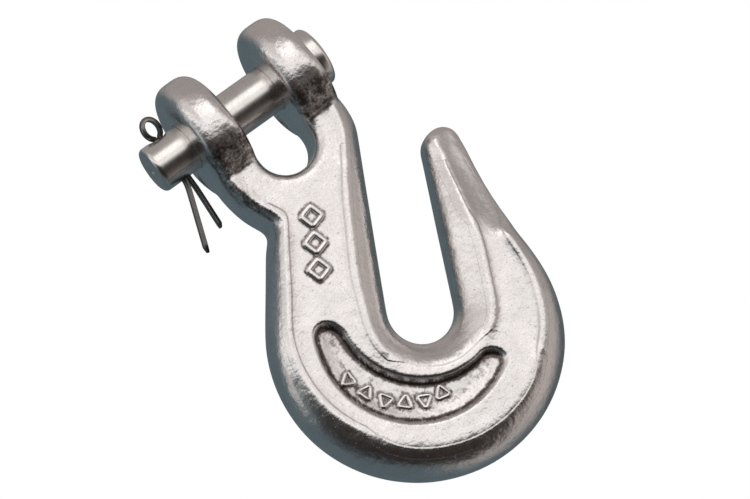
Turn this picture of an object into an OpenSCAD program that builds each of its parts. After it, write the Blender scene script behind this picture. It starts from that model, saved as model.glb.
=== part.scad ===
// Clevis grab hook for safety chain, with a headed clevis pin and a cotter pin.
// Frame: X runs along the clevis pin toward its head, Z runs up along the load
// line, and the origin is on the pin's centreline midway between the two ears.

/* [Clevis] */
// Diameter of the clevis pin
pin_d = 9.5; // [6:0.1:16]
// Gap between the two ears
clevis_gap = 11.5; // [8:0.1:20]
// Thickness of each ear along the pin
ear_t = 8.4; // [4:0.1:12]
// Outer radius of the round ears
ear_r = 12.1; // [8:0.1:18]
// Rounding of the rims of the ears
ear_round = 2.5; // [0.8:0.1:3.4]
// Depth of the clevis slot below the pin
slot_depth = 17; // [14:0.1:26]
// Chamfer on the edges of the clevis slot
slot_edge = 1.9; // [0.3:0.1:2.2]

/* [Hook body] */
// Thickness of the forged body
body_t = 13.5; // [9:0.5:20]
// Height from the throat to the pin
reach = 51.7; // [43:0.1:63]
// Radius at the bottom of the throat
throat_r = 6.6; // [4.5:0.1:9]
// Sideways offset of the throat centre from the load line
throat_x = 2.55; // [-2:0.05:5]
// Slope of the throat wall on the shank side
wall_angle = 28.8; // [24:0.1:33]
// Slope of the throat wall on the point side
point_angle = 26; // [22:0.1:30]
// Outer radius of the bowl
bowl_r = 28.7; // [23.9:0.1:34.5]
// Thickness of the body at the tip of the point
tip_t = 8.6; // [6:0.1:12]
// Radius of the tip of the point
tip_r = 3.6; // [2.4:0.1:4.6]
// Length of the point above the bowl centre
point_len = 26.1; // [20:0.1:32]
// Share of its thickness that the point loses toward its outer side
point_lean = 0.16; // [0:0.01:0.3]

/* [Edges] */
// Width of the drafted outer flank at the bottom of the bowl
outer_flank = 6; // [3:0.1:8]
// Width of the rounded inner flank along the throat
inner_flank = 6; // [3:0.1:8]

/* [Recess and marks] */
// Depth of the crescent recess on each face
recess_depth = 1.2; // [0.4:0.1:2]
// Height of the raised marks
mark_h = 0.5; // [0.2:0.1:1]

/* [Clevis pin] */
// Radial clearance of the pin in the ears
pin_clear = 0.08; // [0.02:0.01:0.1]
// Diameter of the pin head
head_d = 12.2; // [10.5:0.1:20]
// Thickness of the pin head
head_t = 3.3; // [2:0.1:6]
// Play of the head against its ear
head_play = 0.15; // [0.1:0.05:0.6]
// Length of the pin beyond the ear on the cotter side
pin_stick = 8.45; // [7:0.1:16]

/* [Cotter pin] */
// Nominal diameter of the cotter pin
cotter_d = 2; // [1.5:0.1:2.6]
// Diameter of the hole for the cotter
cotter_hole = 2.4; // [1.8:0.1:3.2]
// Distance of the cotter hole from the ear
cotter_off = 3.7; // [3.5:0.1:8]
// Tilt of the cotter hole about the pin
cotter_turn = 8; // [0:1:30]
// Outer width of the eye
eye_w = 4.4; // [3.8:0.1:6]
// Outer height of the eye
eye_h = 5.4; // [4.8:0.1:8]
// Length of the longer leg below the pin
leg_long = 14.2; // [6:0.1:18]
// Length of the shorter leg below the pin
leg_short = 10.9; // [5:0.1:18]
// Spread of the longer leg
leg_spread = 20; // [12:1:32]
// Lean of the shorter leg
leg_lean = 3; // [0:1:8]

/* [Hidden] */
$fn = 72;
eps = 0.01;
half_t = body_t / 2;
gap2 = clevis_gap / 2;
ear_x = gap2 + ear_t;                 // outer face of each ear
slot_z = gap2 - slot_depth;           // centre of the round bottom of the slot
throat = [throat_x, -reach];
bowl = [throat_x - 3.7, -reach - 3.1];
pin_r = pin_d / 2;
bore_r = pin_r + pin_clear;
hole_x = -ear_x - cotter_off;
steel = [0.74, 0.73, 0.72];
steel_dark = [0.62, 0.61, 0.60];

function polar(c, r, a) = [c[0] + r * cos(a), c[1] + r * sin(a)];
function mix(a, b, t) = a + (b - a) * t;
function clamp01(t) = max(0, min(1, t));
function smooth(t) = let (u = clamp01(t)) u * u * (3 - 2 * u);

// ---- outlines of the hook in the XZ plane ----
// Throat wall on the shank side, a distance d above the end of the throat arc
wall_n = 180 - wall_angle;
function shank_wall(d) = polar(throat, throat_r, wall_n) + d * [sin(wall_angle), cos(wall_angle)];
// Throat wall on the point side
function point_wall(d) = polar(throat, throat_r, -point_angle) + d * [sin(point_angle), cos(point_angle)];
// Height on the shank side where the throat wall meets the side of the yoke
corner_x = ear_x + 1.2;
corner_d = (corner_x - shank_wall(0)[0]) / sin(wall_angle);
corner = shank_wall(corner_d);
waist = [-ear_x + 2.35, corner[1] - 7];
bowl_start = 139;                     // angle on the bowl where the shank flank joins it
bowl_in = polar(bowl, bowl_r, bowl_start);
tip = bowl + [bowl_r - 1.3, point_len];
tip_dir = 68;                         // direction of the point at its tip

// A station is [outer point, inner point, half thickness, outer flank, inner flank, lean of the faces]
yoke = [
    for (s = [[0, 0.95, -0.95], [0.3, 0.7, -0.35], [0.42, 0.45, 0.5], [0.7, -0.1, 0.9], [0.9, -0.05, 1.02]])
        [[-ear_x + s[1], mix(-3, corner[1] + 1, s[0])],
         [ear_x + s[2], mix(-3, corner[1] + 1.2, s[0])],
         half_t, 1.7, 2.6 + s[0]]
];
shoulder = [
    [[-ear_x + 0.35, corner[1] - 1.6], shank_wall(corner_d - 0.8) + [-0.25, -0.1], half_t, 1.8, 4],
    [[-ear_x + 1.25, corner[1] - 4.6], shank_wall(corner_d - 3.4), half_t, 2, 4.4],
    [waist + [-0.05, 0], shank_wall(corner_d - 5.6), half_t, 2.2, 4.8],
    [waist + [-0.55, -1.7], shank_wall(corner_d - 8), half_t, 2.5, 5.1]
];
// Straight flank from the waist to the bowl
shank = [
    for (t = [0.22, 0.45, 0.7])
        [mix(waist, bowl_in, t) + [0.3 * (1 - t), 0], shank_wall(mix(corner_d - 8, 10, t)), half_t,
         mix(2.6, 3.6, t), mix(5.2, inner_flank, t)]
];
// Round the bowl
function flank_at(a) = a < 225 ? mix(3.6, outer_flank, smooth((a - 139) / 86))
                     : mix(outer_flank, outer_flank - 1.8, smooth((a - 285) / 75));
// Swell of the bowl beyond its plain circle
function swell(a) = lookup(a, [[139, 0], [190, 0.15], [230, -0.15], [250, -0.2], [270, 0], [295, 0.3], [322, 0.45], [342, -0.1], [360, -0.5]]);
bowl_run = [
    for (a = [bowl_start : 10 : 359.5])
        let (u = (a - 180) / 150)
        [polar(bowl, bowl_r + swell(a), a),
         a < 180 ? shank_wall(10 * (180 - a) / (180 - bowl_start))
         : a <= 330 ? polar(throat, throat_r, mix(wall_n, 360 - point_angle, u))
         : point_wall((a - 330) * 0.42),
         half_t, flank_at(a), inner_flank]
];
// Up the point to the centre of its round tip
function point_out(t) = [bowl[0] + bowl_r + mix(-0.55, 2.5, pow(clamp01((t - 0.3) / 0.7), 1.6)),
                         bowl[1] + point_len * t];
point_in_top = tip - tip_r * [sin(tip_dir), -cos(tip_dir)] + [-1.1, 0];
point = [
    for (t = [0.06, 0.2, 0.34, 0.48, 0.62, 0.76, 0.88])
        [point_out(t), mix(point_wall(13.2), point_in_top, smooth(0.12 + t * 0.9) * 0.55 + t * 0.45),
         mix(half_t, tip_t / 2, smooth((t - 0.1) / 0.85)),
         mix(outer_flank - 1.8, 2.3, t), mix(inner_flank - 0.3, 2.6, smooth((t - 0.15) / 0.8)),
         point_lean * smooth((t - 0.12) / 0.3)]
];
cap = [
    for (b = [0, 25, 48, 66, 80])
        let (c = tip + tip_r * 0.98 * sin(b) * [cos(tip_dir), sin(tip_dir)], w = tip_r * cos(b),
             n = [sin(tip_dir), -cos(tip_dir)])
        [c + w * n, c - w * n - [1.0 * pow(cos(b), 2), 0],
         tip_t / 2 * (0.28 + 0.72 * cos(b)), 2.2 * cos(b) + 0.05, 2.4 * cos(b) + 0.05, point_lean * cos(b)]
];
stations = concat(yoke, shoulder, shank, bowl_run, point, cap);

// Flank shapes: [share of the flank width, share of the half thickness]
outer_shape = [[0, 0], [0.07, 0.3], [0.24, 0.58], [0.52, 0.83], [1, 1]];
inner_shape = [[0, 0], [0.06, 0.34], [0.24, 0.66], [0.54, 0.89], [1, 1]];
function at(p, y) = [p[0], y, p[1]];
function section(s) =
    let (o = s[0], i = s[1], h = s[2], n = (i - o) / norm(i - o), k = len(outer_shape) - 1,
         g = h * (1 - (is_undef(s[5]) ? 0 : s[5])))
    concat(
        [for (j = [0:k]) at(o + n * s[3] * outer_shape[j][0], -g * outer_shape[j][1])],
        [for (j = [k:-1:0]) at(i - n * s[4] * inner_shape[j][0], -h * inner_shape[j][1])],
        [for (j = [1:k]) at(i - n * s[4] * inner_shape[j][0], h * inner_shape[j][1])],
        [for (j = [k:-1:1]) at(o + n * s[3] * outer_shape[j][0], g * outer_shape[j][1])]
    );

// Solid skinned over a list of equal closed sections
module skin(rings) {
    m = len(rings[0]);
    n = len(rings);
    polyhedron(
        points = [for (r = rings) for (p = r) p],
        faces = concat(
            [[for (j = [m - 1 : -1 : 0]) j]],
            [for (i = [0 : n - 2]) for (j = [0 : m - 1])
                [i * m + j, (i + 1) * m + (j + 1) % m, (i + 1) * m + j]],
            [for (i = [0 : n - 2]) for (j = [0 : m - 1])
                [i * m + j, i * m + (j + 1) % m, (i + 1) * m + (j + 1) % m]],
            [[for (j = [0 : m - 1]) (n - 1) * m + j]]
        ));
}

module along_x(x) { translate([x, 0, 0]) rotate([0, 90, 0]) children(); }

// Round disc of an ear with a rim rounded by e, from x = 0 to ear_t
module disc(r, e) {
    rotate_extrude() polygon(concat(
        [[0, 0]],
        [for (a = [-90 : 15 : 0]) polar([r - e, e], e, a)],
        [for (a = [0 : 15 : 90]) polar([r - e, ear_t - e], e, a)],
        [[0, ear_t]]));
}
// Ear with a rolled rim, whose lower part keeps fuller edges down to the body
module ear() {
    disc(ear_r, ear_round);
    intersection() {
        disc(ear_r - 0.06, ear_round * 0.45);
        translate([3, -ear_r - 1, -1]) cube([ear_r, 2 * ear_r + 2, ear_t + 2]);
    }
}

// Cut that opens the edge of the clevis slot on one face of the body
module slot_chamfer() {
    c = slot_edge;
    w = gap2 + 0.03;
    translate([0, half_t - c, slot_z]) rotate([-90, 0, 0]) cylinder(r1 = w, r2 = w + c + 1, h = c + 1);
    translate([0, half_t - c, slot_z]) linear_extrude(60) polygon([[-w, 0], [w, 0], [w + c + 1, c + 1], [-w - c - 1, c + 1]]);
}

// Crescent between two arcs, in the XZ plane
crescent_c = bowl + [-0.6, 1.5];
band = bowl_r - throat_r;              // width of the body round the throat
crescent_r = bowl_r - 0.421 * band;
crescent_in = throat + [0, 2.1];
crescent_rin = throat_r + 0.412 * band;
function crescent_out_pt(a) = polar(crescent_c, crescent_r, a);
function crescent_in_pt(a) = polar(crescent_in, crescent_rin, a);
module crescent_shape() {
    polygon(concat(
        [for (a = [156 : 6 : 306]) crescent_out_pt(a)],
        [polar(crescent_c, crescent_r - 0.9, 309.5)],
        [for (a = [288 : -7 : 162]) crescent_in_pt(a)],
        [polar(crescent_c, crescent_r - 2.4, 147.5), polar(crescent_c, crescent_r - 0.8, 150)]));
}
// A flat shape drawn in XZ, placed with its lower face at depth y and raised toward the front
module front(y, h) { translate([0, y, 0]) rotate([90, 0, 0]) linear_extrude(h) children(); }

// Raised marks: a column of three diamonds on the shank, six triangles in the recess
mark_turn = -30;
mark_c = throat + [-9.85, 21.7];
module outline(r, w, n) { difference() { circle(r = r, $fn = n); circle(r = r - w, $fn = n); } }
module shank_marks() {
    translate(mark_c) rotate(mark_turn)
        for (y = [-5.2, 0, 5.2]) translate([0, y]) outline(2.45, 1.35, 4);
}
module recess_marks() {
    for (k = [0:5]) let (a = 184 + k * 14.4) translate(polar(crescent_c, crescent_r - 3 - 0.46 * k, a))
        rotate(a + (k % 2) * 180) outline(2, 1.3, 3);
}

module hook_body() {
    color(steel) difference() {
        union() {
            difference() {
                skin([for (s = stations) section(s)]);
                translate([-gap2 - 0.03, -40, slot_z]) cube([clevis_gap + 0.06, 80, 60]);
                translate([0, 0, slot_z]) rotate([90, 0, 0]) cylinder(r = gap2 + 0.03, h = 80, center = true);
                for (s = [0, 180]) rotate(s) slot_chamfer();
                for (s = [-1, 1]) front(s > 0 ? half_t + 1 : -half_t + recess_depth, recess_depth + 1) crescent_shape();
            }
            along_x(gap2) ear();
            along_x(-ear_x) ear();
            front(-half_t + 0.3, mark_h + 0.3) shank_marks();
            front(-half_t + recess_depth + 0.3, mark_h + 0.3) recess_marks();
        }
        along_x(-60) cylinder(r = bore_r, h = 120);
    }
}

// Headed pin turned from bar, lying along X
module clevis_pin() {
    left = -ear_x - pin_stick;
    right = ear_x + head_play;
    edge = 0.8;
    color(steel) difference() {
        along_x(left) rotate_extrude() polygon([
            [0, 0.5], [0.85, 0], [pin_r - edge, 0], [pin_r - edge * 0.3, edge * 0.25], [pin_r, edge],
            [pin_r, right - left], [head_d / 2 - 0.5, right - left], [head_d / 2, right - left + 0.5],
            [head_d / 2, right - left + head_t - 0.9], [head_d / 2 - 0.9, right - left + head_t],
            [0, right - left + head_t]]);
        rotate([cotter_turn, 0, 0]) translate([hole_x, 0, 0]) {
            cylinder(r = cotter_hole / 2, h = 4 * pin_d, center = true);
            translate([0, 0, pin_r - 1.25]) cylinder(r1 = cotter_hole / 2, r2 = cotter_hole / 2 + 3.2, h = 3.2);
        }
    }
}

// Half-round wire lying along Z: the flat side faces +x for s = 1
module half_wire(len, s) {
    difference() {
        cylinder(r = cotter_d / 2, h = len);
        translate([s > 0 ? 0.05 : -cotter_d - 0.05, -cotter_d, -1]) cube([cotter_d, 2 * cotter_d, len + 2]);
    }
}
// Split pin: eye above the clevis pin, straight part in the hole, two spread legs below
module cotter_pin() {
    straight = pin_d + 1.4;
    top = pin_r + 0.55;
    band = cotter_d / 2;
    color(steel_dark) rotate([cotter_turn, 0, 0]) translate([hole_x, 0, 0]) {
        // eye
        translate([0, 0, top + eye_h / 2 - 1.2]) rotate([90, 0, 0]) scale(1)
            linear_extrude(cotter_d, center = true) difference() {
                union() {
                    for (z = [-1, 1]) translate([0, z * (eye_h - eye_w) / 2]) circle(r = eye_w / 2);
                    square([eye_w, eye_h - eye_w], center = true);
                }
                for (z = [-1, 1]) translate([0, z * (eye_h - eye_w) / 2]) circle(r = eye_w / 2 - band);
                square([eye_w - 2 * band, eye_h - eye_w], center = true);
            }
        // straight part
        translate([0, 0, top - straight]) cylinder(r = cotter_d / 2, h = straight);
        // legs
        translate([-0.1, 0, top - straight + 0.25]) rotate([0, leg_spread, 0]) translate([0, 0, -leg_long]) half_wire(leg_long + 0.25, 1);
        translate([0.1, 0, top - straight + 0.25]) rotate([0, leg_lean, 0]) translate([0, 0, -leg_short]) half_wire(leg_short + 0.25, -1);
    }
}

hook_body();
clevis_pin();
cotter_pin();
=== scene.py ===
"""Clevis grab hook for safety chain: the visual model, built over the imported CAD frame.

Every size is in millimetres in the classes below and is turned into metres when a mesh is made.
X runs along the clevis pin toward its head, Z up along the load line, and the front face looks to -Y.
"""
import logging
import math
from dataclasses import dataclass, field
from enum import Enum
from typing import Sequence

import bmesh
import bpy
import numpy as np
from mathutils import Matrix, Vector


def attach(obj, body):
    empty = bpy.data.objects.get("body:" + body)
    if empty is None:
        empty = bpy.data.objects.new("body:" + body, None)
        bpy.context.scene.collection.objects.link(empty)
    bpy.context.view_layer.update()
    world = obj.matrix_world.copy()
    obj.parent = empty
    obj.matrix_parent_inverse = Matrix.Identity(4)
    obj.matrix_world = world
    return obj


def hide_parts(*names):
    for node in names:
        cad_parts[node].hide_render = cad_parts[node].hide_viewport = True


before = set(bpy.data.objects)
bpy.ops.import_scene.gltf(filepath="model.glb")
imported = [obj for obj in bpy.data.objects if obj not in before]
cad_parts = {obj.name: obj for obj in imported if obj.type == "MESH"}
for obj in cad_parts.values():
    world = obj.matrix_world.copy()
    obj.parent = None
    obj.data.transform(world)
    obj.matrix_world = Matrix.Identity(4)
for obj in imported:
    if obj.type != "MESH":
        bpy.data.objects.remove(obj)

log = logging.getLogger("hook")
MM = 0.001
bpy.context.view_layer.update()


# ---------------------------------------------------------------- helpers
def mix(a, b, t):
    """Value that is a share t of the way from a to b."""
    return a + (b - a) * t


def smooth(t):
    """Soft step of t from 0 to 1, for numbers and arrays."""
    u = np.clip(t, 0.0, 1.0)
    return u * u * (3 - 2 * u)


def polar(centre: Sequence[float], radius: float, degrees: float) -> np.ndarray:
    """Point at a radius and an angle from a centre."""
    a = math.radians(degrees)
    return np.array([centre[0] + radius * math.cos(a), centre[1] + radius * math.sin(a)])


def resample(rows: np.ndarray, steps: int, sigma: float) -> np.ndarray:
    """Runs a smooth curve through rows of numbers.

    Args:
        rows: one row of values for each station.
        steps: new rows for each old interval.
        sigma: width of the softening, in new rows.

    Returns:
        The denser rows, with both ends kept in place.
    """
    n = len(rows)
    out = []
    for i in range(n - 1):
        p0, p1, p2, p3 = rows[max(i - 1, 0)], rows[i], rows[i + 1], rows[min(i + 2, n - 1)]
        for k in range(steps):
            t = k / steps
            out.append(0.5 * (2 * p1 + (p2 - p0) * t + (2 * p0 - 5 * p1 + 4 * p2 - p3) * t ** 2
                              + (3 * p1 - p0 - 3 * p2 + p3) * t ** 3))
    out.append(rows[-1])
    dense = np.array(out)
    if sigma <= 0:
        return dense
    reach = int(3 * sigma) + 1
    kernel = np.exp(-0.5 * (np.arange(-reach, reach + 1) / sigma) ** 2)
    kernel /= kernel.sum()
    head = 2 * dense[0] - dense[reach:0:-1]
    tail = 2 * dense[-1] - dense[-2:-reach - 2:-1]
    padded = np.vstack([head, dense, tail])
    return np.stack([np.convolve(padded[:, c], kernel, "valid") for c in range(dense.shape[1])], 1)


def shade(bm: bmesh.types.BMesh, sharp_degrees: float) -> None:
    """Smooth shading with edges kept sharp above an angle.

    Args:
        bm: the mesh.
        sharp_degrees: edges that bend more than this stay sharp.
    """
    bm.normal_update()
    for f in bm.faces:
        f.smooth = True
    limit = math.radians(sharp_degrees)
    for e in bm.edges:
        e.smooth = len(e.link_faces) != 2 or e.calc_face_angle(0.0) < limit


def make_object(name: str, bm: bmesh.types.BMesh, scale: float = MM) -> bpy.types.Object:
    """Turns a bmesh into an object of the scene.

    Args:
        name: name of the piece.
        bm: the mesh, which is freed here.
        scale: factor from the mesh's unit to metres.

    Returns:
        The new object, at the origin.
    """
    bmesh.ops.scale(bm, vec=(scale,) * 3, verts=bm.verts)
    mesh = bpy.data.meshes.new(name)
    bm.to_mesh(mesh)
    bm.free()
    obj = bpy.data.objects.new(name, mesh)
    bpy.context.scene.collection.objects.link(obj)
    return obj


def bake_modifiers(obj: bpy.types.Object) -> None:
    """Replaces the mesh of an object with what its modifiers make of it."""
    dg = bpy.context.evaluated_depsgraph_get()
    mesh = bpy.data.meshes.new_from_object(obj.evaluated_get(dg))
    obj.modifiers.clear()
    old, obj.data = obj.data, mesh
    bpy.data.meshes.remove(old)


def drop(obj: bpy.types.Object) -> None:
    """Removes a helper object and its mesh."""
    mesh = obj.data
    bpy.data.objects.remove(obj)
    bpy.data.meshes.remove(mesh)


def cut(obj: bpy.types.Object, tool: bpy.types.Object) -> None:
    """Takes the tool's volume out of the object and removes the tool.

    Args:
        obj: the object that is cut.
        tool: closed mesh that says what is taken away.
    """
    mod = obj.modifiers.new("cut", "BOOLEAN")
    mod.operation, mod.solver, mod.object = "DIFFERENCE", "EXACT", tool
    bake_modifiers(obj)
    drop(tool)


def rings_to_faces(bm: bmesh.types.BMesh, rings: Sequence[Sequence[Sequence[float]]],
                   closed: bool = False) -> None:
    """Skins closed rings of equal length into a tube, with a face on each open end.

    Args:
        bm: mesh that receives the tube.
        rings: rings of points, in order along the tube.
        closed: whether the last ring joins the first.
    """
    made = [[bm.verts.new(p) for p in ring] for ring in rings]
    m, n = len(made[0]), len(made)
    for i in range(n if closed else n - 1):
        a, b = made[i], made[(i + 1) % n]
        for j in range(m):
            k = (j + 1) % m
            bm.faces.new((a[j], a[k], b[k], b[j]))
    if not closed:
        bm.faces.new(list(reversed(made[0])))
        bm.faces.new(made[-1])
    bmesh.ops.recalc_face_normals(bm, faces=bm.faces)


def turned(bm: bmesh.types.BMesh, profile: Sequence[Sequence[float]], steps: int) -> None:
    """Spins a profile about the X axis.

    Args:
        bm: mesh that receives the turned solid.
        profile: points (x, radius) from axis to axis.
        steps: segments round the axis.
    """
    verts = [bm.verts.new((x, 0.0, r)) for x, r in profile]
    edges = [bm.edges.new(pair) for pair in zip(verts, verts[1:])]
    bmesh.ops.spin(bm, geom=verts + edges, cent=(0, 0, 0), axis=(1, 0, 0), angle=math.tau,
                   steps=steps, use_merge=True)
    bmesh.ops.remove_doubles(bm, verts=bm.verts, dist=1e-5)
    bmesh.ops.recalc_face_normals(bm, faces=bm.faces)


def arc(centre: Sequence[float], radius: float, start: float, end: float,
        count: int) -> list[tuple[float, float]]:
    """Points of an arc, from one angle to another, ends included."""
    return [tuple(polar(centre, radius, mix(start, end, i / (count - 1)))) for i in range(count)]


# ---------------------------------------------------------------- finishes
class Tone(Enum):
    """How bright the metal of a piece is."""

    POLISHED = (0.80, 0.768, 0.755)
    SATIN = (0.76, 0.73, 0.71)
    DRAWN = (0.24, 0.225, 0.215)


@dataclass(frozen=True)
class Finish:
    """One metal finish, as numbers."""

    name: str
    tone: Tone
    # dark colour that the painted shade and the random blotches mix towards
    shade_and_blotch_tone: tuple[float, float, float] = (0.075, 0.052, 0.042)
    roughness: float = 0.26
    spread: float = 0.10
    bump: float = 0.35
    bump_height: float = 0.00006
    stepped: bool = False


class NodeKit:
    """Builds the shared node groups and the materials that use them."""

    def __init__(self) -> None:
        """Starts with no groups."""
        self.groups: dict[str, bpy.types.NodeTree] = {}

    def _group(self, name: str, ins: Sequence[tuple[str, str, object]], outs: Sequence[tuple[str, str]]):
        """Opens a new node group with the given sockets.

        Args:
            name: name of the group.
            ins: (name, socket type, default) of each input.
            outs: (name, socket type) of each output.

        Returns:
            The tree with its input and output nodes.
        """
        tree = bpy.data.node_groups.new(name, "ShaderNodeTree")
        for label, kind, default in ins:
            s = tree.interface.new_socket(name=label, in_out="INPUT", socket_type=kind)
            if default is not None:
                s.default_value = default
        for label, kind in outs:
            tree.interface.new_socket(name=label, in_out="OUTPUT", socket_type=kind)
        self.groups[name] = tree
        return tree, tree.nodes.new("NodeGroupInput"), tree.nodes.new("NodeGroupOutput")

    @staticmethod
    def noise(tree: bpy.types.NodeTree, vector, scale: float, detail: float = 2.0, rough: float = 0.5):
        """Adds a noise texture and returns its value socket.

        Args:
            tree: tree that receives the node.
            vector: socket with the coordinates.
            scale: cells per metre.
            detail: octaves.
            rough: roughness of the octaves.

        Returns:
            The output socket.
        """
        n = tree.nodes.new("ShaderNodeTexNoise")
        n.inputs["Scale"].default_value = scale
        n.inputs["Detail"].default_value = detail
        n.inputs["Roughness"].default_value = rough
        tree.links.new(vector, n.inputs["Vector"])
        return n.outputs["Fac"]

    @staticmethod
    def math(tree: bpy.types.NodeTree, operation: str, a, b=None, c=None):
        """Adds a math node on sockets or numbers and returns its output."""
        n = tree.nodes.new("ShaderNodeMath")
        n.operation = operation
        for i, v in enumerate((a, b, c)):
            if v is None:
                continue
            if isinstance(v, (int, float)):
                n.inputs[i].default_value = v
            else:
                tree.links.new(v, n.inputs[i])
        return n.outputs[0]

    @staticmethod
    def ramp(tree: bpy.types.NodeTree, value, low: float, high: float):
        """Adds a soft step from low to high and returns its output."""
        n = tree.nodes.new("ShaderNodeMapRange")
        n.interpolation_type = "SMOOTHSTEP"
        n.inputs["From Min"].default_value = low
        n.inputs["From Max"].default_value = high
        tree.links.new(value, n.inputs["Value"])
        return n.outputs["Result"]

    def forge_relief(self) -> bpy.types.NodeTree:
        """Group for the orange-peel relief of a tumbled forging; its output feeds a bump height."""
        if "forge_relief" in self.groups:
            return self.groups["forge_relief"]
        tree, gi, go = self._group("forge_relief", [("Vector", "NodeSocketVector", None),
                                                    ("Step", "NodeSocketFloat", 2.0)],
                                   [("Height", "NodeSocketFloat")])
        v = gi.outputs["Vector"]
        wave = self.noise(tree, v, 420, 2.0)
        peel = self.noise(tree, v, 1150, 3.0, 0.55)
        pits = self.ramp(tree, self.noise(tree, v, 1700, 1.0), 0.30, 0.22)
        body = self.math(tree, "MULTIPLY_ADD", wave, 2.5, self.math(tree, "MULTIPLY", peel, 1.0))
        total = self.math(tree, "MULTIPLY_ADD", pits, -0.35, body)
        ledge = self.ramp(tree, gi.outputs["Step"], 0.22, -0.22)
        tree.links.new(self.math(tree, "MULTIPLY_ADD", ledge, 1.1, total), go.inputs["Height"])
        return tree

    def forge_colour(self) -> bpy.types.NodeTree:
        """Group for bright steel darkened by painted shade and by random dark blotches; its output feeds Base
        Color.
        """
        if "forge_colour" in self.groups:
            return self.groups["forge_colour"]
        tree, gi, go = self._group(
            "forge_colour",
            [("Vector", "NodeSocketVector", None), ("PaintedShade", "NodeSocketFloat", 0.0),
             ("Step", "NodeSocketFloat", 2.0), ("Clean", "NodeSocketColor", (0.8, 0.77, 0.75, 1)),
             ("ShadeAndBlotch", "NodeSocketColor", (0.08, 0.05, 0.04, 1))],
            [("Color", "NodeSocketColor")])
        v = gi.outputs["Vector"]
        # painted shade from the stored value, broken up by specks and blotches; the noise alone also leaves
        # random dark blotches
        speck = self.noise(tree, v, 2300, 3.0, 0.6)
        blotch = self.noise(tree, v, 760, 2.0)
        broken = self.math(tree, "MULTIPLY_ADD", self.math(tree, "SUBTRACT", speck, 0.5), 1.0,
                           gi.outputs["PaintedShade"])
        broken = self.math(tree, "MULTIPLY_ADD", self.math(tree, "SUBTRACT", blotch, 0.5), 1.1, broken)
        # painted shade: a thin dark line along the trimming step
        far = self.math(tree, "ABSOLUTE", self.math(tree, "ADD", gi.outputs["Step"], -0.05))
        line = self.math(tree, "MULTIPLY", self.ramp(tree, far, 0.34, 0.02), 0.16)
        shade_and_blotch = self.math(tree, "MAXIMUM", self.ramp(tree, broken, 0.28, 0.98), line)
        # mixes the clean steel towards the dark tone by the painted shade and the blotches
        tint = tree.nodes.new("ShaderNodeMix")
        tint.data_type = "RGBA"
        tree.links.new(self.math(tree, "MULTIPLY", shade_and_blotch, 0.92), tint.inputs["Factor"])
        tree.links.new(gi.outputs["Clean"], tint.inputs["A"])
        tree.links.new(gi.outputs["ShadeAndBlotch"], tint.inputs["B"])
        tone = self.ramp(tree, self.noise(tree, v, 260, 3.0), 0.25, 0.8)
        grain = self.ramp(tree, self.noise(tree, v, 3400, 2.0), 0.2, 0.8)
        gain = self.math(tree, "MULTIPLY_ADD", tone, 0.10, self.math(tree, "MULTIPLY_ADD", grain, 0.16, 0.80))
        scaled = tree.nodes.new("ShaderNodeVectorMath")
        scaled.operation = "SCALE"
        tree.links.new(tint.outputs["Result"], scaled.inputs[0])
        tree.links.new(gain, scaled.inputs["Scale"])
        tree.links.new(scaled.outputs[0], go.inputs["Color"])
        return tree

    def wear(self) -> bpy.types.NodeTree:
        """Group for uneven polish; its output feeds Roughness."""
        if "wear" in self.groups:
            return self.groups["wear"]
        tree, gi, go = self._group(
            "wear",
            [("Vector", "NodeSocketVector", None), ("Base", "NodeSocketFloat", 0.26),
             ("Spread", "NodeSocketFloat", 0.1), ("PaintedShade", "NodeSocketFloat", 0.0)],
            [("Roughness", "NodeSocketFloat")])
        patch = self.noise(tree, gi.outputs["Vector"], 700, 3.0)
        off = self.math(tree, "SUBTRACT", patch, 0.5)
        plain = self.math(tree, "MULTIPLY_ADD", off, gi.outputs["Spread"], gi.outputs["Base"])
        # rougher where shade is painted
        tree.links.new(self.math(tree, "MULTIPLY_ADD", gi.outputs["PaintedShade"], 0.12, plain),
                       go.inputs["Roughness"])
        return tree

    def lathe(self) -> bpy.types.NodeTree:
        """Group for fine turning marks round the X axis; its output feeds a bump height."""
        if "lathe" in self.groups:
            return self.groups["lathe"]
        tree, gi, go = self._group("lathe", [("Vector", "NodeSocketVector", None)],
                                   [("Height", "NodeSocketFloat")])
        stretch = tree.nodes.new("ShaderNodeVectorMath")
        stretch.operation = "MULTIPLY"
        stretch.inputs[1].default_value = (1.0, 0.03, 0.03)
        tree.links.new(gi.outputs["Vector"], stretch.inputs[0])
        fine = self.noise(tree, stretch.outputs[0], 5200, 2.0)
        coarse = self.noise(tree, stretch.outputs[0], 1500, 2.0)
        tree.links.new(self.math(tree, "MULTIPLY_ADD", coarse, 0.8, fine), go.inputs["Height"])
        return tree

    def material(self, finish: Finish, relief: str) -> bpy.types.Material:
        """Makes the material of a finish.

        Args:
            finish: its numbers.
            relief: name of the group method that gives the bump height.

        Returns:
            The material.
        """
        mat = bpy.data.materials.new(finish.name)
        mat.use_nodes = True
        tree = mat.node_tree
        bsdf = next(n for n in tree.nodes if n.type == "BSDF_PRINCIPLED")
        bsdf.inputs["Metallic"].default_value = 1.0
        where = tree.nodes.new("ShaderNodeTexCoord").outputs["Object"]

        def stored(name: str):
            """Value stored on the mesh under a name."""
            n = tree.nodes.new("ShaderNodeAttribute")
            n.attribute_name = name
            return n.outputs["Fac"]

        # painted shade stored on the mesh: it darkens the colour and raises the roughness
        painted_shade = stored("painted_shade")

        def use(name: str):
            """Adds a group node."""
            n = tree.nodes.new("ShaderNodeGroup")
            n.node_tree = getattr(self, name)()
            tree.links.new(where, n.inputs["Vector"])
            return n

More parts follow.
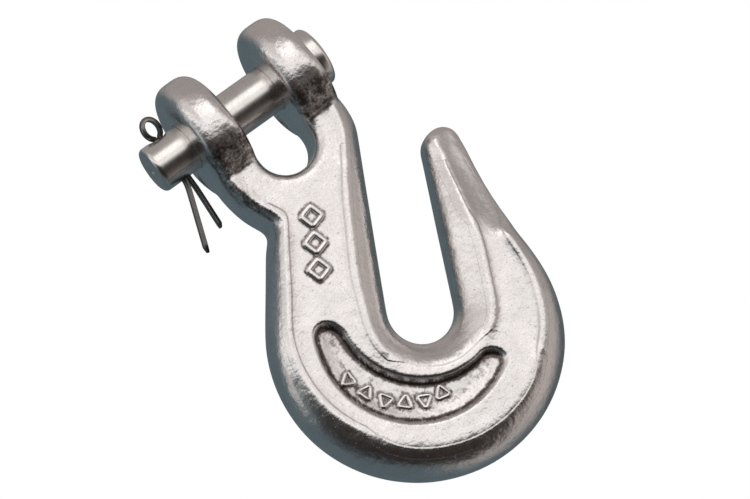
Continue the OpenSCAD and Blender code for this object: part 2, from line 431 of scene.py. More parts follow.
        colour = use("forge_colour")
        colour.inputs["Clean"].default_value = (*finish.tone.value, 1)
        colour.inputs["ShadeAndBlotch"].default_value = (*finish.shade_and_blotch_tone, 1)
        tree.links.new(painted_shade, colour.inputs["PaintedShade"])
        tree.links.new(colour.outputs["Color"], bsdf.inputs["Base Color"])
        wear = use("wear")
        wear.inputs["Base"].default_value = finish.roughness
        wear.inputs["Spread"].default_value = finish.spread
        tree.links.new(painted_shade, wear.inputs["PaintedShade"])
        tree.links.new(wear.outputs["Roughness"], bsdf.inputs["Roughness"])
        shape = use(relief)
        if finish.stepped:
            step = stored("step")
            tree.links.new(step, colour.inputs["Step"])
            tree.links.new(step, shape.inputs["Step"])
        bump = tree.nodes.new("ShaderNodeBump")
        bump.inputs["Strength"].default_value = finish.bump
        bump.inputs["Distance"].default_value = finish.bump_height
        tree.links.new(shape.outputs["Height"], bump.inputs["Height"])
        tree.links.new(bump.outputs["Normal"], bsdf.inputs["Normal"])
        return mat


# ---------------------------------------------------------------- hook body
@dataclass
class HookBody:
    """The forging: yoke with two ears, shank, bowl and point, with its recess and raised marks."""

    kit: NodeKit
    pin_d: float = 9.5
    clevis_gap: float = 11.5
    ear_t: float = 8.4
    ear_r: float = 12.1
    ear_round: float = 3.0
    leg_round: float = 1.3
    slot_depth: float = 17.0
    slot_edge: float = 2.4
    body_t: float = 13.5
    reach: float = 51.7
    throat_r: float = 6.6
    throat_x: float = 2.55
    wall_angle: float = 28.8
    point_angle: float = 26.0
    bowl_r: float = 28.7
    tip_t: float = 8.6
    tip_r: float = 3.6
    point_len: float = 26.1
    point_lean: float = 0.38
    facet_edge: float = 1.5
    outer_flank: float = 6.0
    inner_flank: float = 6.0
    recess_depth: float = 1.75
    mark_h: float = 0.6
    bore_clear: float = 0.08
    ridge: float = 0.42
    voxel: float = 0.33
    soften_rounds: int = 12
    mark_turn: float = -30.0
    mark_corner: float = 0.35
    diamond_pitch: float = 5.2
    diamond_r: float = 2.05
    diamond_w: float = 1.25
    triangle_count: int = 6
    triangle_step: float = 14.4
    triangle_r: float = 1.72
    triangle_w: float = 0.95
    finish: Finish = Finish("forged_steel", Tone.POLISHED, bump=0.75, bump_height=0.00008, stepped=True)
    mark_finish: Finish = Finish("forged_marks", Tone.POLISHED, bump=0.6)

    def __post_init__(self) -> None:
        """Works out the centres and lines that the outline hangs on."""
        self.half_t = self.body_t / 2
        self.gap2 = self.clevis_gap / 2
        self.ear_x = self.gap2 + self.ear_t
        self.throat = np.array([self.throat_x, -self.reach])
        self.bowl = np.array([self.throat_x - 3.7, -self.reach - 3.1])
        self.slot_z = self.gap2 - self.slot_depth
        self.wall_n = 180 - self.wall_angle
        corner_x = self.ear_x + 1.2
        self.corner_d = (corner_x - self._shank_wall(0)[0]) / math.sin(math.radians(self.wall_angle))
        self.corner = self._shank_wall(self.corner_d)
        self.crescent_c = self.bowl + [-0.6, 1.5]
        self.crescent_r = self.bowl_r - 9.3
        self.crescent_in = self.throat + [0, 2.1]
        self.crescent_rin = self.throat_r + 9.1

    def _shank_wall(self, d: float) -> np.ndarray:
        """Point on the throat wall of the shank side, a distance d above the throat arc."""
        a = math.radians(self.wall_angle)
        return polar(self.throat, self.throat_r, self.wall_n) + d * np.array([math.sin(a), math.cos(a)])

    def _point_wall(self, d: float) -> np.ndarray:
        """Point on the throat wall of the point side."""
        a = math.radians(self.point_angle)
        return polar(self.throat, self.throat_r, -self.point_angle) + d * np.array([math.sin(a), math.cos(a)])

    def stations(self) -> np.ndarray:
        """Works out the sections from the ears, round the bowl, to the tip.

        Returns:
            Rows of outer x and z, inner x and z, half thickness, outer flank, inner flank, ridge share, lean.
        """
        rows: list[list[float]] = []

        def add(outer, inner, half, fo, fi, ridge, lean=0.0) -> None:
            """Adds one station."""
            rows.append([*outer, *inner, half, fo, fi, ridge, lean])

        h, cz = self.half_t, self.corner[1]
        yoke = ((0, .95, -.95), (.3, .7, -.35), (.42, .45, .5), (.7, -.1, .9), (.9, -.05, 1.02))
        for t, left, right in yoke:
            add((-self.ear_x + left, mix(-3, cz + 1, t)), (self.ear_x + right, mix(-3, cz + 1.2, t)),
                h, 1.4, 1.6 + 2 * t, t)
        d = self.corner_d
        waist = np.array([-self.ear_x + 2.35, cz - 7])
        add((-self.ear_x + .35, cz - 1.6), self._shank_wall(d - .8) + [-.25, -.1], h, 1.8, 4, .8)
        add((-self.ear_x + 1.25, cz - 4.6), self._shank_wall(d - 3.4), h, 2, 4.4, .9)
        add(waist + [-.05, 0], self._shank_wall(d - 5.6), h, 2.2, 4.8, 1)
        add(waist + [-.55, -1.7], self._shank_wall(d - 8), h, 2.5, 5.1, 1)
        start = 139
        bowl_in = polar(self.bowl, self.bowl_r, start)
        for t in (.22, .45, .7):
            add(mix(waist, bowl_in, t) + [.3 * (1 - t), 0], self._shank_wall(mix(d - 8, 10, t)), h,
                mix(2.6, 3.6, t), mix(5.2, self.inner_flank, t), 1)
        swell_a = [139, 190, 230, 250, 270, 295, 322, 342, 360]
        swell_r = [0, .15, -.15, -.2, 0, .3, .45, -.1, -.5]
        for a in range(start, 360, 10):
            u = (a - 180) / 150
            if a < 180:
                inner = self._shank_wall(10 * (180 - a) / (180 - start))
            elif a <= 330:
                inner = polar(self.throat, self.throat_r, mix(self.wall_n, 360 - self.point_angle, u))
            else:
                inner = self._point_wall((a - 330) * .42)
            flank = mix(3.6, self.outer_flank, float(smooth((a - 139) / 86))) if a < 225 else \
                mix(self.outer_flank, self.outer_flank - 1.8, float(smooth((a - 285) / 75)))
            ridge = 1 - .9 * float(smooth((a - 195) / 30)) * float(smooth((322 - a) / 30))
            add(polar(self.bowl, self.bowl_r + float(np.interp(a, swell_a, swell_r)), a), inner, h, flank,
                self.inner_flank, ridge)
        tip = self.bowl + [self.bowl_r - 1.3, self.point_len]
        lean = math.radians(68)
        n = np.array([math.sin(lean), -math.cos(lean)])
        top = tip - self.tip_r * n + [-1.1, 0]
        for t in (.06, .2, .34, .48, .62, .76, .88):
            out_x = self.bowl[0] + self.bowl_r + mix(-.55, 2.5, max(0, (t - .3) / .7) ** 1.6)
            blend = float(smooth(.12 + t * .9)) * .55 + t * .45
            add((out_x, self.bowl[1] + self.point_len * t), mix(self._point_wall(13.2), top, blend),
                mix(h, self.tip_t / 2, float(smooth((t - .1) / .85))),
                mix(self.outer_flank - 1.8, self.facet_edge, float(smooth(t / .35))),
                mix(self.inner_flank - .3, 3.0, float(smooth((t - .15) / .8))),
                mix(1, .3, float(smooth(t / .3))), self.point_lean * float(smooth((t - .08) / .2)))
        for b in (0, 25, 48, 66, 80):
            s, c = math.sin(math.radians(b)), math.cos(math.radians(b))
            mid = tip + self.tip_r * .98 * s * np.array([math.cos(lean), math.sin(lean)])
            w = self.tip_r * c
            add(mid + w * n, mid - w * n - [c * c, 0], self.tip_t / 2 * (.28 + .72 * c),
                2.2 * c + .05, 2.4 * c + .05, 0, self.point_lean * c)
        return np.array(rows)

    def _rows(self) -> np.ndarray:
        """Dense rows along the body, from the stations."""
        return resample(self.stations(), 6, 2.2)

    def _section(self, row: np.ndarray, k: int = 11, face: int = 12) -> list[tuple[float, float, float]]:
        """Closed ring of one station.

        Args:
            row: the station.
            k: points along each flank.
            face: points across the flat face.

        Returns:
            Points round the section, front side first.
        """
        o, i, h, fo, fi, ridge = row[:2], row[2:4], row[4], row[5], row[6], row[7] * self.ridge
        span = np.linalg.norm(i - o)
        n = (i - o) / span
        t = np.linspace(0, math.pi / 2, k)
        x, y = 1 - np.cos(t), np.sin(t) - .06 * np.sin(2 * t)
        w = np.concatenate([x * fo, np.linspace(fo, span - fi, face + 2)[1:-1], span - (x * fi)[::-1]])
        box_o, box_i = (mix(.42, 1.0, float(smooth((v - 1.3) / 2.2))) for v in (fo, fi))
        y = h * np.concatenate([y ** box_o, np.ones(face), (y ** box_i)[::-1]])
        y *= 1 - row[8] * np.clip((span - fi - w) / max(span - fi - fo, .2), 0, 1)
        for edge in (fo, span - fi):
            crest = edge + math.copysign(.5, span / 2 - edge)
            y += ridge * np.exp(-((w - crest) / .75) ** 2) * (w > .4) * (w < span - .4)
        inside = smooth((w - fo - .5) / 1.2) * smooth((span - fi - .5 - w) / 1.2)
        y -= ridge * .5 * inside
        front = [(o[0] + n[0] * a, -b, o[1] + n[1] * a) for a, b in zip(w, y)]
        back = [(p[0], -p[1], p[2]) for p in front[-2:0:-1]]
        return front + back

    def _slot_tool(self) -> bpy.types.Object:
        """Closed cutter for the clevis slot, flared at both faces."""
        bm = bmesh.new()
        rings = []
        c, h = self.slot_edge, self.half_t
        depths = [h + 8, h] + [h - c + c * math.sin(math.radians(a)) for a in (70, 50, 30, 12)] + [h - c]
        for y in [-d for d in depths] + depths[::-1]:
            e = max(0.0, min(1.0, (abs(y) - h + c) / c))
            w = self.gap2 + .03 + c * (1 - math.sqrt(1 - e * e))
            outline = [(w, 40.0)] + [(x, z) for x, z in arc((0, self.slot_z), w, 0, -180, 33)] + [(-w, 40.0)]
            rings.append([(x, y, z) for x, z in outline])
        rings_to_faces(bm, rings)
        return make_object("slot_tool", bm)

    def _crescent_depth(self, x: np.ndarray, z: np.ndarray) -> np.ndarray:
        """Depth of the recess under points of the face, steep on the throat side and gentle on the bowl side.

        Args:
            x: places along the pin, in mm.
            z: places along the load line, in mm.

        Returns:
            The depth at each point, 0 outside the recess.
        """
        p = np.stack([x, z], -1)
        inner = np.linalg.norm(p - self.crescent_in, axis=-1) - self.crescent_rin
        outer = self.crescent_r - np.linalg.norm(p - self.crescent_c, axis=-1)
        angle = np.degrees(np.arctan2(z - self.crescent_c[1], x - self.crescent_c[0])) % 360
        left = (angle - 142.5) * math.pi / 180 * (self.crescent_r - 2.8)
        right = (307.5 - angle) * math.pi / 180 * (self.crescent_r - 2.5)
        along, corner = np.minimum(left, right), np.where(left < right, 3.0, 2.3)
        a, b = np.clip(corner - along, 0, None), np.clip(corner - np.minimum(inner, outer), 0, None)
        end = corner - np.hypot(a, b)
        near = np.minimum(end, np.minimum(inner, outer))
        rim = smooth(near / 1.3 + .12)
        bowl_side = .50 + .50 * smooth(outer / 4.2)
        throat_side = .35 + .65 * smooth(inner / 1.3)
        return self.recess_depth * rim * bowl_side * throat_side

    def _raise_band(self, bm: bmesh.types.BMesh, path: np.ndarray, width: float) -> None:
        """Sweeps a raised stroke with a rounded top round a loop on the front face.

        Args:
            bm: mesh that receives the stroke.
            path: points (x, z) of its middle line.
            width: width of the stroke.
        """
        t = np.roll(path, -1, 0) - np.roll(path, 1, 0)
        t /= np.linalg.norm(t, axis=1)[:, None]
        side = np.stack([-t[:, 1], t[:, 0]], 1)
        w, h = width / 2, self.mark_h
        half = [(-w - .12, -.5), (-w - .08, .02), (-w + .06, h * .62), (-w * .45, h * .97)]
        shape = half + [(-a, b) for a, b in half[::-1]]
        floor = self.half_t - self.ridge * .5 - self._crescent_depth(path[:, 0], path[:, 1])
        rings = [[(x + u * a, -(y + b), z + v * a) for a, b in shape]
                 for (x, z), (u, v), y in zip(path, side, floor)]
        rings_to_faces(bm, rings, closed=True)

    def build(self) -> list[bpy.types.Object]:
        """Builds the forging and its marks.

        Returns:
            The forging first, then the two sets of marks.
        """
        bm = bmesh.new()
        rings_to_faces(bm, [self._section(r) for r in self._rows()])
        body = make_object("hook_forging", bm)
        cut(body, self._slot_tool())
        bm = bmesh.new()
        bm.from_mesh(body.data)
        bmesh.ops.scale(bm, vec=(1 / MM,) * 3, verts=bm.verts)
        r, e = self.ear_r, self.ear_round
        for x0 in (self.gap2, -self.ear_x):
            part = bmesh.new()
            self._ear(part, x0, r, e)
            mesh = bpy.data.meshes.new("ear")
            part.to_mesh(mesh)
            part.free()
            bm.from_mesh(mesh)
            bpy.data.meshes.remove(mesh)
        old = body
        body = make_object("hook_forging_union", bm)
        drop(old)
        body.name = "hook_forging"
        mod = body.modifiers.new("union", "REMESH")
        mod.mode, mod.voxel_size, mod.adaptivity = "VOXEL", self.voxel * MM, 0.0
        bake_modifiers(body)
        self._soften(body, self.soften_rounds)
        self._sink(body)
        tool = bmesh.new()
        bore = self.pin_d / 2 + self.bore_clear
        turned(tool, [(-40, 0), (-40, bore), (40, bore), (40, 0)], 96)
        cut(body, make_object("bore_tool", tool))
        self._paint_shade(body)
        strokes = self._strokes()
        return [body, self._marks("shank_marks", strokes[:3]), self._marks("recess_marks", strokes[3:])]

    def _ear(self, bm: bmesh.types.BMesh, x0: float, r: float, e: float) -> None:
        """Adds one ear: a disc whose rim is rolled over the top and fuller where it runs down to the body.

        Args:
            bm: mesh that receives the ear.
            x0: its lower face along the pin.
            r: its radius.
            e: rounding of the rolled rim.
        """
        x1 = x0 + self.ear_t
        rays = []
        for a in np.linspace(0, math.tau, 121)[:-1]:
            drop_share = float(smooth((-math.sin(a) + .10) / .55))
            k = mix(e, self.leg_round, drop_share)
            profile = [(x0, .02)] + arc((x0 + k, r - k), k, 180, 90, 9)
            profile += arc((x1 - k, r - k), k, 90, 0, 9) + [(x1, .02)]
            rays.append([(x, d * math.cos(a), d * math.sin(a)) for x, d in profile])
        rings_to_faces(bm, [[ray[i] for ray in rays] for i in range(len(rays[0]))])

    @staticmethod
    def _soften(obj: bpy.types.Object, rounds: int) -> None:
        """Rolls the edges of the remeshed forging.

        Args:
            obj: the forging.
            rounds: smoothing rounds.
        """
        bm = bmesh.new()
        bm.from_mesh(obj.data)
        for _ in range(rounds):
            bmesh.ops.smooth_vert(bm, verts=bm.verts, factor=0.5,
                                  use_axis_x=True, use_axis_y=True, use_axis_z=True)
        bm.to_mesh(obj.data)
        bm.free()

    def _sink(self, obj: bpy.types.Object) -> None:
        """Presses the crescent recess into both faces."""
        n = len(obj.data.vertices)
        co = np.zeros(n * 3, np.float32)
        obj.data.vertices.foreach_get("co", co)
        p = co.reshape(-1, 3) / MM
        depth = self._crescent_depth(p[:, 0], p[:, 2]) * smooth((np.abs(p[:, 1]) - 3) / 3)
        p[:, 1] -= np.sign(p[:, 1]) * depth
        obj.data.vertices.foreach_set("co", (p * MM).astype(np.float32).ravel())
        obj.data.update()

    def _paint_shade(self, obj: bpy.types.Object) -> None:
        """Stores painted shade at each vertex for the material: darker in creases, in the recess, round the
        raised marks and on the painted dark patches; the same value makes those places rougher.
        """
        mesh = obj.data
        n = len(mesh.vertices)
        co = np.zeros(n * 3, np.float32)
        mesh.vertices.foreach_get("co", co)
        p = co.reshape(-1, 3) / MM
        nor = np.zeros(n * 3, np.float32)
        mesh.vertices.foreach_get("normal", nor)
        nor = nor.reshape(-1, 3)
        ed = np.zeros(len(mesh.edges) * 2, np.int32)
        mesh.edges.foreach_get("vertices", ed)
        a, b = ed.reshape(-1, 2).T
        count = np.bincount(a, minlength=n) + np.bincount(b, minlength=n)
        s = p.astype(np.float64).copy()
        for _ in range(10):
            acc = np.stack([np.bincount(a, s[b, c], n) + np.bincount(b, s[a, c], n) for c in range(3)], 1)
            s = .5 * s + .5 * acc / np.maximum(count, 1)[:, None]
        # painted shade in creases: how far each vertex lies below its smoothed neighbours
        painted_shade = np.einsum("ij,ij->i", s - p, nor) * 14
        # painted shade in the crescent recess, darker where it is deeper
        depth = self._crescent_depth(p[:, 0], p[:, 2]) / self.recess_depth * (np.abs(p[:, 1]) > 4)
        painted_shade = np.clip(painted_shade - .12, 0, 1) + .30 * depth
        for path, width in self._strokes():
            x, z = path.mean(0)
            idx = np.nonzero((np.abs(p[:, 0] - x) < 6) & (np.abs(p[:, 2] - z) < 6) & (p[:, 1] < -3))[0]
            if not len(idx):
                continue
            away = p[idx][:, None, (0, 2)] - path[None]
            dist = np.min(np.hypot(away[..., 0], away[..., 1]), 1)
            # painted shade: a dark outline round each raised stroke
            ring = np.exp(-((dist - width / 2 - .12) / .34) ** 2)
            painted_shade[idx] = np.maximum(painted_shade[idx], ring * .85)
        line, throat = self._step_line(p)
        # painted shade: dark patches on the lower fronts of the ears, the shoulder and the throat wall
        painted_shade = np.maximum(painted_shade, self._painted_dark_patches(p, throat))
        at = mesh.attributes.new("painted_shade", "FLOAT", "POINT")
        at.data.foreach_set("value", np.clip(painted_shade, 0, 1).astype(np.float32))
        at = mesh.attributes.new("step", "FLOAT", "POINT")
        at.data.foreach_set("value", line.astype(np.float32))

    def _painted_dark_patches(self, p: np.ndarray, throat: np.ndarray) -> np.ndarray:
        """Painted shade: dark patches where the steel reflects its dark surroundings.

        Args:
            p: points in mm.
            throat: distance of each point from the throat's edge.

        Returns:
            The amount of painted shade, 0 to 1: on the lower fronts of the ears, the shoulder and the throat
                wall.
        """
        x, y, z = np.abs(p[:, 0]), np.abs(p[:, 1]), p[:, 2]
        low = smooth((-z - 2.4) / 3.6) * smooth((z + 10.5) / .7)
        ears = .74 * low * smooth((x - self.gap2 + .6) / .5) * smooth((y - 5.2) / 2)
        a, b = np.array([-self.ear_x + .2, -10.0]), np.array([-self.ear_x + 2.4, self.corner[1] - 7.5])
        t = np.clip(((p[:, 0] - a[0]) * (b - a)[0] + (z - a[1]) * (b - a)[1]) / ((b - a) ** 2).sum(), 0, 1)
        off = np.hypot(p[:, 0] - a[0] - t * (b - a)[0], z - a[1] - t * (b - a)[1])
        shoulder = .66 * smooth((1.9 - off) / 1.5) * smooth((y - 4.2) / 1.5) * (p[:, 0] < 0)
        wall = .60 * smooth((1.5 - throat) / 1.4) * (p[:, 0] < self.throat_x) * smooth((-z - 20) / 8)
        return np.maximum(np.maximum(ears, shoulder), wall)

    def _step_line(self, p: np.ndarray) -> tuple[np.ndarray, np.ndarray]:
        """Signed distance in mm from the trimming line inside the edges of the face, positive on the face.

        Args:
            p: points in mm.

        Returns:
            The distance of each point, or 2 where no line is near, and its distance from the throat's edge.
        """
        rows = self._rows()
        rows = rows[(np.arange(len(rows)) > 33) & (np.arange(len(rows)) < len(rows) - 34)]
        out, throat = np.full(len(p), 2.0), np.full(len(p), 9.0)
        span = np.linalg.norm(rows[:, 2:4] - rows[:, :2], axis=1)
        n = (rows[:, 2:4] - rows[:, :2]) / span[:, None]
        flat = np.nonzero(np.abs(p[:, 1]) > 2.5)[0]
        for base, side, width in ((rows[:, :2], 1, rows[:, 5]), (rows[:, 2:4], -1, rows[:, 6])):
            line = base + n * (side * (width + 1.25))[:, None]
            tangent = np.gradient(line, axis=0)
            tangent /= np.linalg.norm(tangent, axis=1)[:, None]
            for chunk in np.array_split(flat, max(1, len(flat) // 4000)):
                q = p[chunk][:, (0, 2)]
                d = q[:, None, :] - line[None]
                k = np.argmin((d ** 2).sum(2), 1)
                best = d[np.arange(len(q)), k]
                dist = best[:, 0] * -tangent[k, 1] + best[:, 1] * tangent[k, 0]
                toward = side * np.sign(n[k, 0] * -tangent[k, 1] + n[k, 1] * tangent[k, 0])
                signed = dist * toward + (1 - np.clip(rows[k, 7] * 1.4, 0, 1)) * 2
                ends = (k == 0) | (k == len(line) - 1)
                if side < 0:
                    throat[chunk] = np.where(ends, 9.0, dist * toward + width[k] + 1.25)
                signed[ends] = 2.0
                closer = np.abs(signed) < np.abs(out[chunk])
                out[chunk[closer]] = signed[closer]
        return np.clip(out, -2, 2), throat

    def _strokes(self) -> list[tuple[np.ndarray, float]]:
        """Middle line and width of every raised stroke, in order: three diamonds, six triangles."""
        middle, turn = self.throat + [-9.85, 21.7], math.radians(self.mark_turn)
        az = np.array([-math.sin(turn), math.cos(turn)])

        def loop(centre, radius: float, sides: int, spin: float) -> np.ndarray:
            """Closed line with rounded corners."""
            pts, corner = [], self.mark_corner
            inset = radius - corner / math.cos(math.pi / sides)
            for k in range(sides):
                a = spin + 360 * k / sides
                core = polar(centre, inset, a)
                pts += arc(core, corner, a - 180 / sides, a + 180 / sides, 5)
                b = polar(centre, inset, a + 360 / sides)
                p0, p1 = np.array(pts[-1]), polar(b, corner, a + 180 / sides)
                pts += [tuple(mix(p0, p1, f)) for f in (.2, .4, .6, .8)]
            return np.array(pts)

        out = [(loop(middle + az * y * self.diamond_pitch, self.diamond_r, 4, self.mark_turn), self.diamond_w)
               for y in (1, 0, -1)]
        for k in range(self.triangle_count):
            a = 184 + k * self.triangle_step
            centre = polar(self.crescent_c, self.crescent_r - 3 - .46 * k, a)
            out.append((loop(centre, self.triangle_r, 3, a + (k % 2) * 180), self.triangle_w))
        return out

    def _marks(self, name: str, strokes: Sequence[tuple[np.ndarray, float]]) -> bpy.types.Object:
        """Raised marks as one piece.

        Args:
            name: name of the piece.
            strokes: middle line and width of each stroke.

        Returns:
            The piece.
        """
        bm = bmesh.new()
        for path, width in strokes:
            self._raise_band(bm, path, width)
        shade(bm, 60)
        return make_object(name, bm)

    def dress(self, pieces: Sequence[bpy.types.Object]) -> None:
        """Gives the pieces their metal and ties them to the hook's body."""
        mats = [self.kit.material(finish, "forge_relief") for finish in (self.finish, self.mark_finish)]
        for i, obj in enumerate(pieces):
            obj.data.materials.clear()
            obj.data.materials.append(mats[min(i, 1)])
            obj.data.polygons.foreach_set("use_smooth", [True] * len(obj.data.polygons))
            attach(obj, "hook")
        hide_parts("hook_body")


# ---------------------------------------------------------------- clevis pin
@dataclass
class ClevisPin:
    """Turned pin with a flat round head, a cotter hole and a dimpled end."""

    kit: NodeKit
    pin_d: float = 9.5
    ear_x: float = 14.15
    stick: float = 8.45
    head_d: float = 12.2
    head_t: float = 3.3
    head_play: float = 0.15
    hole_d: float = 2.4
    hole_off: float = 3.7
    hole_turn: float = 8.0
    edge: float = 0.95
    finish: Finish = Finish("turned_steel", Tone.SATIN, roughness=0.25, spread=0.06, bump=0.16,
                            bump_height=0.00002)

    def build(self) -> bpy.types.Object:
        """Builds the pin.

        Returns:
            The pin as one object.
        """
        r, e = self.pin_d / 2, self.edge
        left, right = -self.ear_x - self.stick, self.ear_x + self.head_play
        hr, ht = self.head_d / 2, self.head_t
        hole_x = -self.ear_x - self.hole_off
        body = [x for x in np.arange(left + e + .35, right - .2, .7)]
        profile = [(left + .8, 0), (left + .72, .35), (left + .42, .85), (left + .1, 1.3), (left, 1.5)]
        profile += [(left, x) for x in (2.1, 2.9)]
        profile += arc((left + e, r - e), e, 180, 90, 7)
        profile += [(x, r) for x in body] + [(right, r), (right, hr - .5)]
        profile += arc((right + .4, hr - .4), .4, 180, 90, 4)
        profile += arc((right + ht - .9, hr - .9), .9, 90, 0, 7)
        profile += [(right + ht, x) for x in (4.2, 3.0, 1.6)] + [(right + ht, 0)]
        bm = bmesh.new()
        turned(bm, profile, 96)
        pin = make_object("clevis_pin_turned", bm)
        tool = bmesh.new()
        tilt = Matrix.Rotation(math.radians(self.hole_turn), 4, "X") @ Matrix.Translation((hole_x, 0, 0))
        hole = self.hole_d / 2
        sink = ((-20, hole), (r - 1.25, hole), (r - .8, hole + .5), (r - .3, hole + 1.0), (r + .3, hole + 1.5),
                (r + 2, hole + 3.1))
        round_ = [(math.cos(a), math.sin(a)) for a in np.linspace(0, math.tau, 41)[:-1]]
        rings_to_faces(tool, [[tilt @ Vector((rad * u, rad * v, z)) for u, v in round_] for z, rad in sink])
        cut(pin, make_object("cotter_tool", tool))
        bm = bmesh.new()
        bm.from_mesh(pin.data)
        bmesh.ops.remove_doubles(bm, verts=bm.verts, dist=1e-7)
        shade(bm, 33)
        bm.to_mesh(pin.data)
        bm.free()
        return pin

    def dress(self, pin: bpy.types.Object) -> None:
        """Gives the pin its turned finish and ties it to its body."""
        pin.data.materials.clear()
        pin.data.materials.append(self.kit.material(self.finish, "lathe"))
        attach(pin, "pin")
        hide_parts("clevis_pin")


# ---------------------------------------------------------------- cotter pin
@dataclass
class CotterPin:
    """Split pin bent from half-round wire: an eye, a straight part and two spread legs."""

    kit: NodeKit
    hole_x: float = -17.85
    turn: float = 8.0
    wire_r: float = 1.0
    eye_w: float = 4.2
    eye_h: float = 5.3
    pin_r: float = 4.75
    leg_long: float = 13.5
    leg_short: float = 10.2
    leg_spread: float = 20.0
    leg_lean: float = 3.0
    finish: Finish = Finish("wire_steel", Tone.DRAWN, roughness=0.3, spread=0.08, bump=0.3,
                            bump_height=0.00003)

    def _path(self) -> np.ndarray:
        """Line of the wire's flat side, from the long leg's tip round the eye to the short leg's tip."""
        top, gap, flat = self.pin_r + .55, .04, self.wire_r
        low = top - (2 * self.pin_r + 1.4) - .5
        spread, lean = math.radians(self.leg_spread), math.radians(self.leg_lean)
        pts: list[tuple[float, float]] = []
        for d in self.leg_long * np.linspace(1, 0.12, 12):
            pts.append((-gap - .1 - d * math.sin(spread), low - d * math.cos(spread)))
        pts += [(-gap, z) for z in np.linspace(low + .3, top - .5, 13)]
        rx, rz = self.eye_w / 2 - flat, self.eye_h / 2 - flat
        cz = top + self.eye_h / 2 - 1.25
        pts += [(-rx * math.sin(a), cz - rz * math.cos(a)) for a in np.radians(np.linspace(22, 338, 30))]
        pts += [(gap, z) for z in np.linspace(top - .5, low + .3, 13)]
        for d in self.leg_short * np.linspace(0.12, 1, 12):
            pts.append((gap + .1 - d * math.sin(lean), low - d * math.cos(lean)))
        return resample(np.array(pts), 2, 1.5)

    def build(self) -> bpy.types.Object:
        """Builds the split pin.

        Returns:
            The pin as one object.
        """
        path = self._path()
        t = np.gradient(path, axis=0)
        t /= np.linalg.norm(t, axis=1)[:, None]
        out = np.stack([-t[:, 1], t[:, 0]], 1)
        r = self.wire_r
        shape = [(0.02, -r * .86), (.12, -r * .97)]
        shape += [(r * math.cos(a), r * math.sin(a)) for a in np.radians(np.linspace(-72, 72, 13))]
        shape += [(.12, r * .97), (0.02, r * .86)]
        tilt = Matrix.Rotation(math.radians(self.turn), 4, "X") @ Matrix.Translation((self.hole_x, 0, 0))
        rings = []
        n = len(path)
        for i in range(n):
            taper = min(1.0, .55 + .45 * min(i, n - 1 - i) / 2)
            (x, z), (u, v) = path[i], out[i] * taper
            rings.append([tilt @ Vector((x + u * a, b * taper, z + v * a)) for a, b in shape])
        bm = bmesh.new()
        rings_to_faces(bm, rings)
        shade(bm, 50)
        return make_object("cotter_wire", bm)

    def dress(self, wire: bpy.types.Object) -> None:
        """Gives the wire its darker drawn finish and ties it to its body."""
        wire.data.materials.clear()
        wire.data.materials.append(self.kit.material(self.finish, "forge_relief"))
        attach(wire, "cotter")
        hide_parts("cotter_pin")


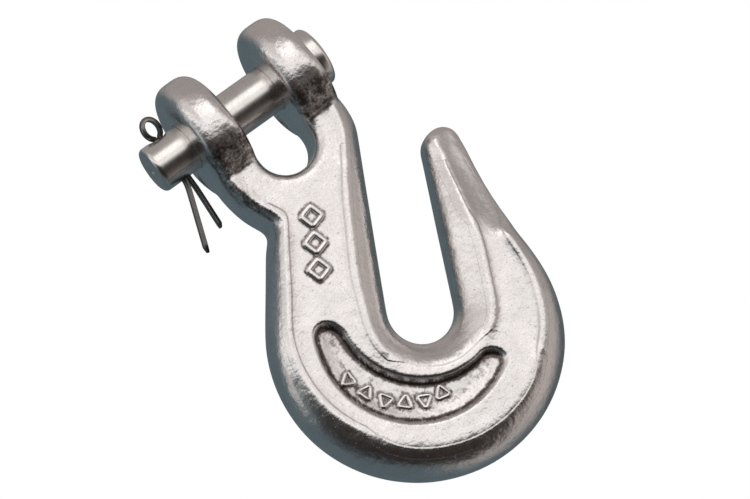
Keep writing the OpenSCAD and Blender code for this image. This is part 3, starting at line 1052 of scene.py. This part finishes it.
# ---------------------------------------------------------------- studio
@dataclass
class Studio:
    """Camera, pale floor and the soft studio round the object."""

    azimuth: float = -14.65
    elevation: float = -5.07
    roll: float = -37.59
    distance: float = 0.7
    target: tuple[float, float, float] = (0.0, 0.0, -0.036)
    lens: float = 175.95
    shift: tuple[float, float] = (0.0206, 0.0054)
    floor_z: float = -0.5
    axes: tuple[Vector, Vector, Vector] = field(init=False)

    def __post_init__(self) -> None:
        """Works out the camera's right, up and backward directions."""
        a, e, r = (math.radians(v) for v in (self.azimuth, self.elevation, self.roll))
        back = Vector((math.sin(a) * math.cos(e), -math.cos(a) * math.cos(e), math.sin(e)))
        right = (-back).cross(Vector((0, 0, 1))).normalized()
        up = right.cross(-back)
        self.axes = (math.cos(r) * right + math.sin(r) * up, -math.sin(r) * right + math.cos(r) * up, back)

    def camera(self) -> None:
        """Places the camera."""
        cam = bpy.data.cameras.new("camera")
        cam.sensor_width, cam.lens = 36.0, self.lens
        cam.shift_x, cam.shift_y = self.shift
        cam.clip_start, cam.clip_end = 0.01, 20.0
        obj = bpy.data.objects.new("camera", cam)
        right, up, back = self.axes
        rot = Matrix((right, up, back)).transposed().to_4x4()
        obj.matrix_world = Matrix.Translation(Vector(self.target) + back * self.distance) @ rot
        bpy.context.scene.collection.objects.link(obj)
        bpy.context.scene.camera = obj

    def floor(self) -> None:
        """Lays the pale floor well below the hanging hook."""
        bm = bmesh.new()
        bmesh.ops.create_circle(bm, cap_ends=True, segments=64, radius=4.0)
        bmesh.ops.translate(bm, vec=(0, 0, self.floor_z), verts=bm.verts)
        floor = make_object("floor", bm, 1.0)
        mat = bpy.data.materials.new("floor_paint")
        mat.use_nodes = True
        bsdf = next(n for n in mat.node_tree.nodes if n.type == "BSDF_PRINCIPLED")
        bsdf.inputs["Base Color"].default_value = (0.97, 0.97, 0.97, 1)
        bsdf.inputs["Roughness"].default_value = 0.9
        floor.data.materials.append(mat)
        floor.visible_glossy = False

    def world(self) -> None:
        """Surrounds the object with a soft studio: a broad warm light, a dark table edge and cool walls."""
        world = bpy.data.worlds.new("studio")
        bpy.context.scene.world = world
        world.use_nodes = True
        tree = world.node_tree
        tree.nodes.clear()
        kit = NodeKit
        direction = tree.nodes.new("ShaderNodeTexCoord").outputs["Generated"]

        def toward(vec: Vector):
            """How far the direction points along vec."""
            n = tree.nodes.new("ShaderNodeVectorMath")
            n.operation = "DOT_PRODUCT"
            n.inputs[1].default_value = vec.normalized()
            tree.links.new(direction, n.inputs[0])
            return n.outputs["Value"]

        def blend(factor, a, b):
            """Mix of two colours or sockets."""
            n = tree.nodes.new("ShaderNodeMix")
            n.data_type = "RGBA"
            tree.links.new(factor, n.inputs["Factor"])
            for key, v in (("A", a), ("B", b)):
                if isinstance(v, tuple):
                    n.inputs[key].default_value = (*v, 1)
                else:
                    tree.links.new(v, n.inputs[key])
            return n.outputs["Result"]

        right, up, back = self.axes
        c, u, r = toward(back), toward(up), toward(right)
        tilted = kit.math(tree, "MULTIPLY_ADD", r, -.28, u)

        def mask(*steps):
            """Product of soft steps, each (socket, low, high)."""
            value = kit.ramp(tree, *steps[0])
            for step in steps[1:]:
                value = kit.math(tree, "MULTIPLY", value, kit.ramp(tree, *step))
            return value

        colour = blend(mask((u, .05, .6)), (0.11, 0.15, 0.17), (.40, .37, .355))
        colour = blend(mask((r, .2, .75), (c, -.8, .3), (u, .62, .35)), colour, (.60, .55, .52))
        colour = blend(mask((r, .3, .7), (c, -.3, -.8), (u, .42, .12)), colour, (.10, .115, .12))
        panel = blend(mask((tilted, .2, .56)), (1.46, 1.43, 1.41), (.80, .77, .75))
        colour = blend(mask((c, -.05, .38), (tilted, .02, .26), (u, .93, .72), (r, .9, .5)), colour, panel)
        lamp = toward(back * .62 + up * .66 + right * .05)
        colour = blend(mask((lamp, .93, .985)), colour, (1.6, 1.57, 1.54))
        strip = toward(back * .24 - up * .31 - right * .91)
        colour = blend(mask((strip, .955, .99)), colour, (.62, .61, .60))
        shadow = mask((tilted, .12, -.06), (c, .0, .35), (u, -.97, -.72), (r, -.78, -.42), (r, .94, .74))
        colour = blend(kit.math(tree, "MULTIPLY", shadow, .97), colour, (.022, .015, .012))
        path = tree.nodes.new("ShaderNodeLightPath")
        colour = blend(path.outputs["Is Diffuse Ray"], colour, (1.3, 1.3, 1.3))
        colour = blend(path.outputs["Is Camera Ray"], colour, (1.0, 1.0, 1.0))
        bg = tree.nodes.new("ShaderNodeBackground")
        tree.links.new(colour, bg.inputs["Color"])
        out = tree.nodes.new("ShaderNodeOutputWorld")
        tree.links.new(bg.outputs[0], out.inputs["Surface"])

    def build(self) -> None:
        """Sets up camera, floor, world and colour handling."""
        self.camera()
        self.floor()
        self.world()
        bpy.context.scene.view_settings.view_transform = "Standard"


def main() -> None:
    """Builds every sub-assembly in order and reports it."""
    logging.basicConfig(level=logging.INFO, format="%(name)s %(message)s")
    kit = NodeKit()
    hook = HookBody(kit)
    forged = hook.build()
    hook.dress(forged)
    pin = ClevisPin(kit)
    turned_pin = pin.build()
    pin.dress(turned_pin)
    cotter = CotterPin(kit)
    wire = cotter.build()
    cotter.dress(wire)
    for obj in (*forged, turned_pin, wire):
        log.info("%s: %d faces", obj.name, len(obj.data.polygons))
    Studio().build()


if __name__ == "__main__":
    main()
